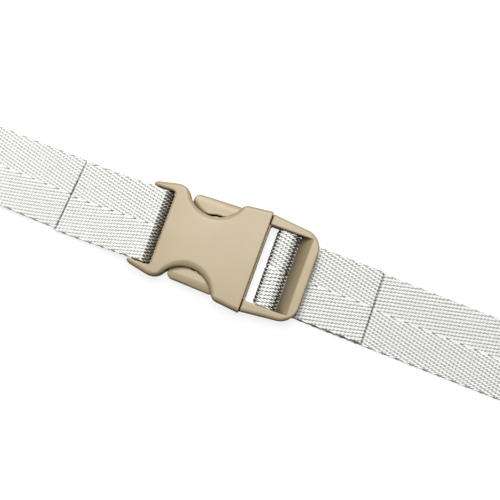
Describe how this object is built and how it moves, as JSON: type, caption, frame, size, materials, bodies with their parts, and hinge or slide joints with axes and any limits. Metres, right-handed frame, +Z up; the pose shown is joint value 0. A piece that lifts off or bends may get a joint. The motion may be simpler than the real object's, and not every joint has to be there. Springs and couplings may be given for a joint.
{
  "type": "side release buckle",
  "caption": "Side release buckle, closed, with a folded flat webbing strap on the socket's bar and another on the insert's bar.",
  "frame": {"origin": "on the socket's flat underside, halfway along the closed buckle and on its middle line, on the surface that it lies on", "axes": "+X from the socket to the insert, along the straps; +Y across the webbing; +Z up"},
  "size_m": [0.191, 0.0352, 0.0096],
  "materials": {
    "socket_plastic": "satin moulded acetal, sand coloured",
    "insert_plastic": "satin moulded acetal, sand coloured",
    "webbing_left": "white herringbone webbing",
    "webbing_right": "white herringbone webbing"
  },
  "bodies": {
    "root": {"socket": "socket_plastic", "insert": "insert_plastic", "strap_left": "webbing_left", "strap_right": "webbing_right"}
  },
  "joints": []
}
